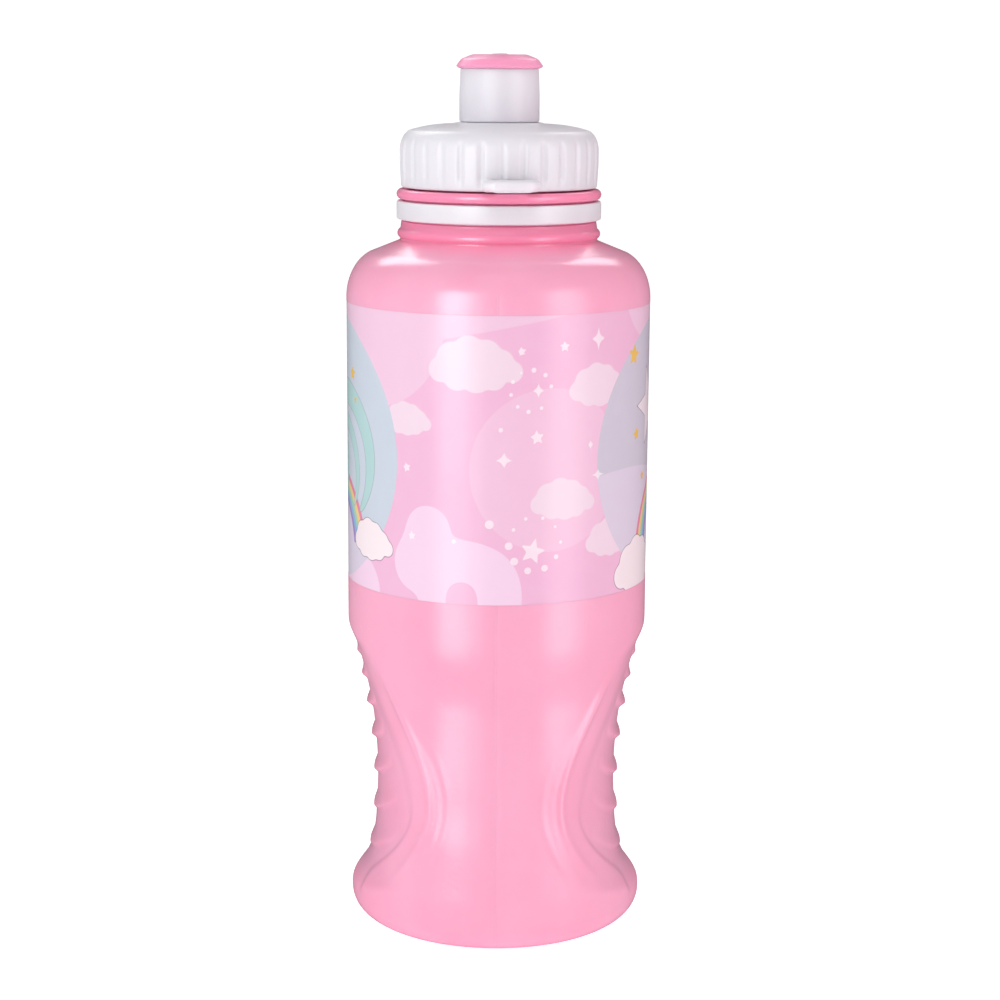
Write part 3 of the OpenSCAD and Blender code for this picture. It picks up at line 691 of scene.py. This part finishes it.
# ---- mouthpiece: soft tip pressed into the spout
tipLow, tipHigh = boxInMm("mouthpiece_tip")
tip = {"holeR": 2.0, "hollowR": 4.6, "under": 0.6, "squeeze": 0.02, "dimple": 0.12, "columns": 160}
lipR, lipZ = tipHigh.x, spoutHigh.z + tip["under"]
plugR, dimpleZ = spout["plugR"] - tip["squeeze"], tipHigh.z - tip["dimple"]
tipOutline = rounded([
    (tip["hollowR"], tipLow.z, 0.2), (plugR, tipLow.z, 0.3), (plugR, spoutHigh.z, 0.02),
    (spout["topR"] + 0.1, spoutHigh.z, 0.05), (lipR - 0.1, lipZ - 0.25, 0.12), (lipR, lipZ, 0.1),
    (lipR - 1.05, lipZ + 1.45, 1.5), (lipR - 2.9, tipHigh.z - 0.22, 1.2), (lipR - 3.6, tipHigh.z, 0.8),
    (lipR - 4.6, tipHigh.z, 0.5), (3.6, dimpleZ, 0.6), (tip["holeR"], dimpleZ, 0.3),
    (tip["holeR"], spoutHigh.z + 0.6, 0.2), (tip["hollowR"], spoutHigh.z + 0.1, 0.4),
    (tip["hollowR"], tipLow.z, 0)], steps=4)[:-1]
mouthpieceTip = piece("mouthpieceTip", spun(tipOutline, tip["columns"]), "spout", "mouthpiece_tip",
                      pinkTip)


# ---- printed film: a thin wrap in its recess, with soft hills, clouds, stars and a moon at each side
wrap = {
    "columns": 560, "rows": 164, "thick": 0.14, "under": 0.002,
    "seamDeg": 12.0, "seamWide": 4.0, "seamEdge": 0.5, "seamStep": 0.04,    # its lap lies beside the back
}
turnLength = 2 * pi * bodyR         # the print's places are lengths round the bottle from its front
moonAt = turnLength / 4

# hills and clouds are unions of discs: (round, height, radius)
picture = {
    "blob": [(-29, 137, 17.5), (-44, 141, 16), (-60, 146, 14)],
    "bigDisc": [(11.5, 107.2, 17.4)],
    "hill": [(-15.2, 94.0, 5.2), (-17.5, 86.5, 6.3), (-9.5, 84.2, 7.6), (-4.5, 82.0, 9.5), (-6, 76, 10.5),
             (-37, 78, 8.5), (-46, 81, 9.5)],
    "hollow": [(-7.5, 80.0, 3.3), (-7.5, 77, 3.3)],
    "clouds": [(-4.9, 129.6, 20.4), (-20.5, 117.4, 12.4), (23.4, 124.6, 16), (14.6, 100.9, 15.4),
               (27.2, 91.4, 14.5)],
    "stars": [(5.0, 132.4, 1.15, 10), (14.4, 133.2, 1.35, 0), (8.4, 114.3, 1.75, 8), (7.6, 90.0, 2.95, -14),
              (-20.4, 107.0, 1.25, 12), (-19.1, 92.4, 1.15, 5)],
    "sparkles": [(22.9, 134.4, 3.3), (8.6, 124.2, 2.3), (1.4, 109.6, 2.9), (21.1, 112.0, 1.6),
                 (23.2, 105.4, 2.2)],
    "dots": [(7.6, 128.5, 0.55), (10.1, 127.4, 0.5), (4.9, 128.0, 0.3), (3.2, 126.1, 0.45), (11.4, 125.0, 0.45),
             (2.8, 123.4, 0.42), (4.2, 120.9, 0.42), (6.5, 119.8, 0.48), (9.3, 120.5, 0.42), (0.7, 116.0, 0.5),
             (6.1, 97.1, 0.42), (9.8, 97.1, 0.4), (3.5, 94.8, 0.42), (12.6, 95.1, 0.35), (-1.6, 95.9, 0.95),
             (-9.2, 92.0, 0.5), (2.5, 91.3, 0.85), (13.9, 91.7, 0.4), (3.7, 88.0, 0.85), (6.6, 85.9, 0.75),
             (10.3, 86.3, 0.75), (12.9, 88.6, 0.55)],
    "stripe": (136.9, 0.19, 30),        # the foot of the pale stripe, its slope, and where it levels out
    "hillSoft": 4.0, "hollowSoft": 2.0, "cloudSoft": 0.8,
}
# the discs of a cloud one millimetre wide
cloudPuffs = [(-0.36, -0.06, 0.13), (-0.24, 0.07, 0.16), (-0.06, 0.13, 0.17), (0.12, 0.1, 0.16),
              (0.27, 0.02, 0.14), (0.39, -0.07, 0.11), (0.2, -0.13, 0.13), (0.02, -0.12, 0.17),
              (-0.18, -0.12, 0.15)]


def union(fields, reach=0.001):
    # reach is how far a join is rounded
    out = fields[0]
    for field in fields[1:]:
        out = smoothMin(out, field, reach)
    return out


class Print:
    # distances in millimetres from every point of the film to the shapes of the print, below zero inside them
    def __init__(self, around, height):
        self.around, self.height = around, height

    def offset(self, at, z):
        return (self.around - at + turnLength / 2) % turnLength - turnLength / 2, self.height - z

    def discs(self, rows, reach=0.001):
        return union([np.hypot(*self.offset(at, z)) - r for at, z, r in rows], reach)

    def cloud(self, at, z, wide):
        puffs = [(at + px * wide, z + pz * wide, pr * wide) for px, pz, pr in cloudPuffs]
        return self.discs(puffs, picture["cloudSoft"])

    def star(self, at, z, size, turn):
        x, y = self.offset(at, z)
        angle, away = np.arctan2(x, y) + radians(turn), np.hypot(x, y)
        fold = np.abs((angle + pi / 5) % (2 * pi / 5) - pi / 5)
        # the side of a point runs from its tip to the notch beside it
        sideX, sideY = size * 0.45 * sin(pi / 5), size * 0.45 * cos(pi / 5) - size
        px, py = away * np.sin(fold), away * np.cos(fold) - size
        return (sideX * py - sideY * px) / hypot(sideX, sideY)

    def sparkle(self, at, z, size):
        x, y = self.offset(at, z)
        return ((np.abs(x) / size) ** 0.45 + (np.abs(y) / size) ** 0.45 - 0.98) * size * 0.35

    def arcBand(self, at, z, radius, half, startDeg, endDeg):
        # a swoosh: part of a ring, clockwise from one angle to the next, that narrows to nothing
        x, y = self.offset(at, z)
        angle = np.degrees(np.arctan2(y, x)) % 360
        share = ((startDeg - angle) % 360) / (startDeg - endDeg)
        wide = half * np.sqrt(np.clip(1 - share, 0, 1)) * np.minimum(share * 6, 1)
        return np.abs(np.hypot(x, y) - radius) - wide + np.maximum(share - 0.98, 0) * 60


def moonPicture(p, at):
    # rainbow, clouds and a shooting star on a moon
    z = 107.8
    return {
        "moon": p.discs([(at, z, 29.6)]),
        "meadow": p.discs([(at - 20, z - 62, 59.8)]),
        "puffs": union([p.cloud(at + 20.5, z - 18.2, 15.5), p.cloud(at - 13, z - 24.5, 22)]),
        "bow": p.discs([(at + 2, z - 22, 0)]),          # how far it is from the rainbow's middle
        "shooting": p.star(at - 6, z + 10, 9.0, 14),
        "comet": union([p.arcBand(at + 6, z - 2, 14.5, 3.2, 120, -50),
                        p.arcBand(at + 3, z - 5, 11.5, 2.0, 110, -40),
                        p.arcBand(at - 8, z - 4, 13.5, 2.4, 80, -70)]),
        "gold": union([p.star(at + 11.5, z + 17, 1.9, 0), p.star(at + 13.4, z + 11.4, 1.0, 20),
                       p.star(at - 15.2, z + 4.6, 1.7, 10), p.star(at - 17, z + 22, 2.6, -8),
                       p.star(at - 11, z - 5.2, 1.4, 0)]),
    }


def printFields(around, height):
    p = Print(around, height)
    left, right = moonPicture(p, -moonAt), moonPicture(p, moonAt)
    fields = {name: np.minimum(left[name], right[name]) for name in left}
    behind = turnLength / 2

    def twice(name):
        # the back of the wrap carries the same scene as its front
        return picture[name] + [(row[0] + behind, *row[1:]) for row in picture[name]]

    foot, slope, levelAt = picture["stripe"]
    along = (around + moonAt) % behind - moonAt
    stripe = foot + slope * np.minimum(along, levelAt) - height
    fields["pale"] = union([p.discs(twice("blob")), stripe])
    fields["disc"] = p.discs(twice("bigDisc"))
    fields["hill"] = np.maximum(p.discs(twice("hill"), picture["hillSoft"]),
                                -p.discs(twice("hollow"), picture["hollowSoft"]))
    fields["cloud"] = union([p.cloud(*row) for row in twice("clouds")])
    fields["white"] = union([p.star(*row) for row in twice("stars")]
                            + [p.sparkle(*row) for row in twice("sparkles")] + [p.discs(twice("dots"))])
    return fields


def filmMesh():
    w = wrap
    outer, low, high = bodyR - w["under"], filmLow.z, filmHigh.z
    inner = outer - w["thick"]
    bm = spun([(inner, low)] + line((outer, low), (outer, high), w["rows"]) + [(inner, high)], w["columns"])

    def overlap(angle, radius, height):
        beside = np.degrees(angle) - (90 + w["seamDeg"])
        lap = smoothStep(w["seamWide"], w["seamWide"] - w["seamEdge"], np.abs(beside))
        return angle, np.where(radius > bodyR - 0.05, radius - w["seamStep"] * (1 - lap), radius), height

    return reshape(bm, overlap)


filmColours = {
    "ground": linear(238, 181, 212), "pale": linear(239, 200, 223), "disc": linear(241, 197, 221),
    "hill": linear(243, 208, 232), "cloud": linear(240, 216, 230), "white": linear(250, 240, 246),
    # the second moon colour is painted shade: the same moon as lit by the dimmer, pinker light at +X
    "moon": linear(199, 205, 219), "moonShadedSide": linear(205, 196, 212), "meadow": linear(220, 204, 224),
    "comet": linear(176, 207, 208), "shooting": linear(238, 222, 230), "gold": linear(236, 186, 92),
    "puffs": linear(246, 228, 234), "outline": linear(96, 84, 98), "haze": linear(250, 236, 244),
}
bowColours = [(0.0, linear(150, 120, 190)), (0.2, linear(120, 170, 220)), (0.4, linear(150, 205, 170)),
              (0.6, linear(245, 200, 110)), (0.8, linear(232, 116, 150))]
filmLook = {
    "edgeSharp": 9.0,           # how quickly a printed edge turns from one colour to the next, per millimetre
    # the scene behind, from the back forwards: how sharp each part's edge is, and how strong its colour
    "scene": (("pale", 4.0, 0.75), ("disc", 9.0, 0.6), ("hill", 9.0, 0.9), ("cloud", 3.5, 0.85)),
    # what is drawn on and before the moon: how wide each part's outline is, and how dark
    "drawn": (("comet", 0.12, 0.55), ("shooting", 0.16, 0.65), ("gold", 0, 0), ("puffs", 0.16, 0.6)),
    "bow": (10.0, 17.0), "bowFoot": 0.0875, "bowStrength": 0.85,    # radii in millimetres, foot in metres
    "meadow": 0.9, "moonShadeTurn": 40, "white": 0.65, "haze": 0.12, "hazeFrom": 0.42,
    "inkScale": 260.0, "inkRough": 0.05, "rippleScale": 70.0, "rippleStretch": 0.35, "ripple": 3,
    "grainScale": 1500.0, "grain": 0.4, "depth": 0.00003,
    "roughness": 0.2, "rubScale": 60.0, "rubFrom": 0.45, "rubRough": 0.16,
    "constants": {"IOR": 1.5, "Specular IOR Level": 0.33, "Subsurface Weight": 0.12,
                  "Subsurface Radius": (1.0, 0.5, 0.6), "Subsurface Scale": 0.0015},
}


def filmMaterial():
    made, graph, place = startMaterial("printedFilm")
    c, look = filmColours, filmLook

    def inside(name, grow=0.0, sharp=look["edgeSharp"]):
        return ((grow - graph.field(name)) * sharp + 0.5).held()

    colour = c["ground"]
    for name, sharp, strength in look["scene"]:
        colour = graph.mix(inside(name, 0.0, sharp) * strength, colour, c[name])
    moon = inside("moon")
    # painted shade: the moon at +X is drawn darker and pinker, for the dimmer, pinker light on that side
    moonShadeShare = (graph.part(place, 0) * look["moonShadeTurn"] + 0.5).held()
    colour = graph.mix(moon, colour, graph.mix(moonShadeShare, c["moon"], c["moonShadedSide"]))
    colour = graph.mix(moon * inside("meadow") * look["meadow"], colour, c["meadow"])
    bow, (bowInner, bowOuter) = graph.field("bow"), look["bow"]
    bands = graph.node("ShaderNodeValToRGB", {"stops": bowColours, "interpolation": "CONSTANT"},
                       {0: (bow - bowInner) / (bowOuter - bowInner)})
    inBow = ((bow - bowInner) * look["edgeSharp"]).held() * ((bowOuter - bow) * look["edgeSharp"]).held()
    inBow = inBow * moon * (graph.part(place, 2) > look["bowFoot"])
    colour = graph.mix(inBow * look["bowStrength"], colour, bands)
    for name, width, dark in look["drawn"]:
        colour = graph.mix(inside(name), colour, c[name])
        if dark:
            rim = inside(name, width) * (1 - inside(name, -0.02))
            colour = graph.mix(rim * dark, colour, c["outline"])
    colour = graph.mix(inside("white") * look["white"], colour, c["white"])
    ink = graph.noise(place, look["inkScale"], 3.0)
    colour = graph.mix((ink - look["hazeFrom"]).held() * look["haze"], colour, c["haze"])
    ripple = graph.noise(graph.stretched(place, look["rippleStretch"]), look["rippleScale"])
    grain = graph.noise(place, look["grainScale"], 1.0)
    scuffed = (graph.noise(place, look["rubScale"]) - look["rubFrom"]).atLeast(0) * look["rubRough"]
    roughness = (look["roughness"] + scuffed + (ink - 0.5) * look["inkRough"]).held()
    finishMaterial(graph, colour, roughness, ripple * look["ripple"] + grain * look["grain"], look["depth"],
                   look["constants"])
    return made


wrapFilm = piece("wrapFilm", filmMesh(), "bottle", "wrap_film", filmMaterial())
filmCo = np.empty(len(wrapFilm.data.vertices) * 3)
wrapFilm.data.vertices.foreach_get("co", filmCo)
filmCo = filmCo.reshape(-1, 3) / mm
around = np.arctan2(filmCo[:, 0], -filmCo[:, 1]) * bodyR
for name, field in printFields(around, filmCo[:, 2]).items():
    wrapFilm.data.attributes.new(name, "FLOAT", "POINT").data.foreach_set("value", field.astype(np.float32))
print("printed the film")

# ---- floor, light and camera
studio = {
    "roomLight": 0.45, "roomGloss": 0.1, "backdrop": 1.1, "aimZ": 0.1,
    # each soft light: direction from the bottle in degrees towards +X from the front, half its width in
    # degrees, distance, height of its middle, how tall, strength, colour, and whether it is a reflected panel
    # or a fill
    "lights": [("panelLeft", -30.0, 18.5, 0.9, 0.18, 0.9, 2.8, (1, 1, 1), True),
               ("panelLeftCore", -32.0, 9.5, 0.88, 0.18, 0.88, 5.2, (1, 1, 1), True),
               ("panelRight", 52.0, 17.0, 0.9, 0.18, 0.9, 2.1, (1, 1, 1), True),
               ("panelRightCore", 50.0, 8.0, 0.88, 0.18, 0.88, 1.7, (1, 1, 1), True),
               ("topLeft", -150.0, 18.0, 0.7, 0.8, 0.45, 4.6, (1, 1, 1), True),
               ("topRight", 151.0, 15.0, 0.7, 0.8, 0.45, 3.6, (1, 1, 1), True),
               ("fillLeft", -66.0, 30.0, 0.9, 0.35, 0.8, 1.21, (0.985, 1, 1), False),
               ("fillRight", 70.0, 28.0, 0.9, 0.35, 0.8, 0.93, (1, 0.66, 0.74), False),
               ("fillTop", 0.0, 24.0, 0.5, 1.0, 0.5, 4.5, (1, 1, 1), False)],
    "floorHalf": 3.0, "floorDrop": 0.0002, "floorGrey": 0.8, "floorGlow": 0.7,
    # the camera's place in metres, and its tilt below the horizon and turn about its line of sight in radians
    "lens": 80.9, "sensor": 36.0, "cameraAt": (0.000625, -0.495546, 0.1896), "tilt": 0.189, "roll": 0.006,
}


def softLight(name, direction, halfWidth, distance, height, tall, strength, colour, reflected):
    data = bpy.data.lights.new(name, "AREA")
    data.shape = "RECTANGLE"
    data.size, data.size_y = 2 * distance * tan(radians(halfWidth)), tall
    data.energy = strength * data.size * data.size_y * pi
    data.color = colour
    obj = bpy.data.objects.new(name, data)
    a = radians(direction)
    obj.location = (distance * sin(a), -distance * cos(a), height)
    target = Vector((0, 0, studio["aimZ"] if height > 0.2 else height))     # the low lights stand upright
    obj.rotation_euler = (obj.location - target).to_track_quat("Z", "Y").to_euler()
    obj.visible_camera = False
    obj.visible_diffuse, obj.visible_glossy = not reflected, reflected
    scene.collection.objects.link(obj)


for row in studio["lights"]:
    softLight(*row)

room = bpy.data.worlds.new("studio")
scene.world = room
roomGraph = Graph(room)
isCamera = roomGraph.node("ShaderNodeLightPath")
isGlossy = Value(roomGraph, isCamera.socket.node.outputs["Is Glossy Ray"])
strength = isCamera * studio["backdrop"] + (1 - isCamera) * (
    isGlossy * studio["roomGloss"] + (1 - isGlossy) * studio["roomLight"])
background = roomGraph.node("ShaderNodeBackground", {}, {"Color": (1, 1, 1, 1), "Strength": strength})
roomGraph.node("ShaderNodeOutputWorld", {}, {"Surface": background})

floorBm = bmesh.new()
bmesh.ops.create_grid(floorBm, x_segments=1, y_segments=1, size=studio["floorHalf"])
floorMesh = bpy.data.meshes.new("floor")
floorBm.to_mesh(floorMesh)
floorBm.free()
floor = bpy.data.objects.new("floor", floorMesh)
scene.collection.objects.link(floor)
floor.location.z = -studio["floorDrop"]
floor.visible_glossy = False
floorPaint = bpy.data.materials.new("paleFloor")
floorGraph = Graph(floorPaint)
floorShader = floorGraph.node("ShaderNodeBsdfPrincipled", {}, {
    "Base Color": (*[studio["floorGrey"]] * 3, 1), "Roughness": 0.9, "Specular IOR Level": 0.0,
    "Emission Color": (1, 1, 1, 1), "Emission Strength": studio["floorGlow"]})
floorGraph.node("ShaderNodeOutputMaterial", {}, {"Surface": floorShader})
floorMesh.materials.append(floorPaint)

cameraData = bpy.data.cameras.new("camera")
cameraData.lens, cameraData.sensor_width = studio["lens"], studio["sensor"]
cameraData.clip_start = 0.01
camera = bpy.data.objects.new("camera", cameraData)
camera.location = studio["cameraAt"]
camera.rotation_euler = (Matrix.Rotation(pi / 2 - studio["tilt"], 3, "X")
                         @ Matrix.Rotation(studio["roll"], 3, "Z")).to_euler()
scene.collection.objects.link(camera)
scene.camera = camera
scene.view_settings.view_transform = "Standard"
print("set the floor, lights and camera")
